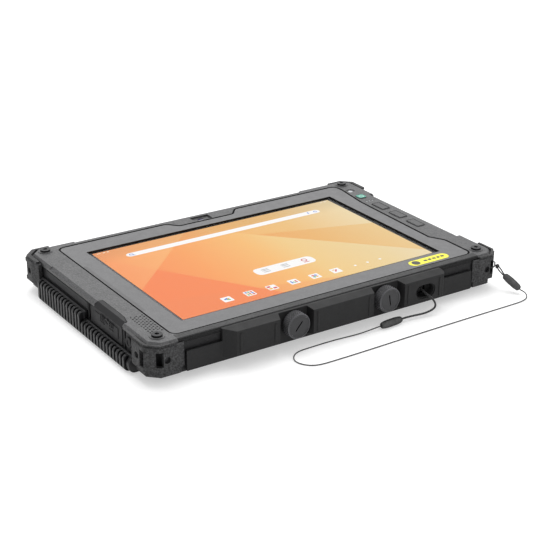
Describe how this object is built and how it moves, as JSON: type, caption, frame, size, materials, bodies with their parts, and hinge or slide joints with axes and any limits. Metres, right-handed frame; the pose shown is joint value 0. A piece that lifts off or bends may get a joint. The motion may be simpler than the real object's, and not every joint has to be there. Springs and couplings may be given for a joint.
{
  "type": "rugged data collector tablet",
  "caption": "Rugged survey tablet with corner bumpers, ribbed side grips, a thumbscrewed battery drawer, hinged port doors, press keys and a tethered stylus.",
  "frame": {"origin": "centre of the rear plate's flat underside, on which the tablet rests", "axes": "+X to the right and +Y towards the front camera when looking at the screen, +Z out of the screen"},
  "size_m": [0.2465, 0.1814, 0.025],
  "materials": {
    "frame_plastic": "fine moulded texture",
    "overlay_print": "smooth satin",
    "glass": "clear",
    "screen": "lit image",
    "gasket": "foam",
    "chassis": "fine moulded texture",
    "bumper": "coarse moulded texture",
    "rubber_black": "satin",
    "door_rubber": "satin",
    "bar_plastic": "smooth satin",
    "screw_steel": "black oxide",
    "knob": "black anodised, knurled",
    "brass": "machined",
    "steel": "machined",
    "board": "solder mask",
    "battery": "shrink wrap",
    "lens": "coated",
    "key_rubber": "fine moulded texture",
    "light_white": "translucent",
    "cord": "braided",
    "cord_lock": "smooth",
    "stylus_plastic": "satin"
  },
  "bodies": {
    "case": {"front_frame": "frame_plastic", "display_overlay": "overlay_print", "touch_glass": "glass", "display_gasket": "gasket", "display_panel": "screen", "chassis": "chassis", "back_cover": "chassis", "rear_plate": "rubber_black", "dock_inserts": "brass", "case_screws": "screw_steel", "back_screws": "screw_steel", "bumper_screws": "screw_steel", "bumper_front_left": "bumper", "bumper_front_right": "bumper", "bumper_back_left": "bumper", "bumper_back_right": "bumper", "side_grip_left": "rubber_black", "side_grip_right": "rubber_black", "hinge_pins": "steel", "switch_board": "board", "key_switches": "steel", "status_lights": "light_white", "light_sensor_lens": "light_white", "front_camera_lens": "lens", "front_camera": "battery", "rear_camera_lens": "lens", "rear_camera": "battery", "camera_flash": "light_white", "speaker": "battery", "antenna": "board", "main_board": "board", "board_screws": "screw_steel", "processor_shield": "steel", "card_reader": "steel", "usb_ports": "steel", "audio_jack": "battery", "battery_connector": "battery", "post_cord_lock": "cord_lock", "return_tether": "cord", "post_loop": "cord"},
    "battery_drawer": {"battery_bar": "bar_plastic", "battery_tray": "chassis", "battery_pack": "battery", "stylus_sleeve": "stylus_plastic"},
    "thumbscrew_left": {"thumbscrew_left": "knob", "retaining_clip_left": "steel"},
    "thumbscrew_right": {"thumbscrew_right": "knob", "retaining_clip_right": "steel"},
    "stylus": {"stylus_barrel": "stylus_plastic", "stylus_nib": "rubber_black", "stylus_cord": "cord", "stylus_cord_lock": "cord_lock", "stylus_tether": "cord"},
    "power_key": {"power_key": "key_rubber"},
    "function_key_1": {"function_key_1": "key_rubber"},
    "function_key_2": {"function_key_2": "key_rubber"},
    "function_key_3": {"function_key_3": "key_rubber"},
    "upper_port_door": {"upper_port_door": "door_rubber"},
    "lower_port_door": {"lower_port_door": "door_rubber"},
    "audio_plug": {"audio_plug": "door_rubber"}
  },
  "joints": [
    {"name": "battery_drawer_slide", "type": "slide", "parent": "case", "child": "battery_drawer", "axis": [0, -1, 0], "range_m": [0, 0.095], "deforming": ["return_tether"]},
    {"name": "stylus_slide", "type": "slide", "parent": "battery_drawer", "child": "stylus", "axis": [0, -1, 0], "range_m": [0, 0.095], "deforming": ["return_tether"]},
    {"name": "thumbscrew_left_turn", "type": "hinge", "parent": "battery_drawer", "child": "thumbscrew_left", "pos_m": [-0.0311, -0.0755, 0.0154], "axis": [0, 1, 0], "continuous": true},
    {"name": "thumbscrew_right_turn", "type": "hinge", "parent": "battery_drawer", "child": "thumbscrew_right", "pos_m": [0.0311, -0.0755, 0.0154], "axis": [0, 1, 0], "continuous": true},
    {"name": "power_key_press", "type": "slide", "parent": "case", "child": "power_key", "axis": [0, 0, -1], "range_m": [0, 0.0005], "stiffness_N_per_m": 2000},
    {"name": "function_key_1_press", "type": "slide", "parent": "case", "child": "function_key_1", "axis": [0, 0, -1], "range_m": [0, 0.0005], "stiffness_N_per_m": 2000},
    {"name": "function_key_2_press", "type": "slide", "parent": "case", "child": "function_key_2", "axis": [0, 0, -1], "range_m": [0, 0.0005], "stiffness_N_per_m": 2000},
    {"name": "function_key_3_press", "type": "slide", "parent": "case", "child": "function_key_3", "axis": [0, 0, -1], "range_m": [0, 0.0005], "stiffness_N_per_m": 2000},
    {"name": "upper_door_hinge", "type": "hinge", "parent": "case", "child": "upper_port_door", "pos_m": [-0.1158, -0.0016, 0.0177], "axis": [0, 0, 1], "range_deg": [0, 90]},
    {"name": "lower_door_hinge", "type": "hinge", "parent": "case", "child": "lower_port_door", "pos_m": [-0.1158, -0.0064, 0.0152], "axis": [0, 0, -1], "range_deg": [0, 90]},
    {"name": "audio_plug_pull", "type": "slide", "parent": "case", "child": "audio_plug", "axis": [-1, 0, 0], "range_m": [0, 0.009]}
  ]
}
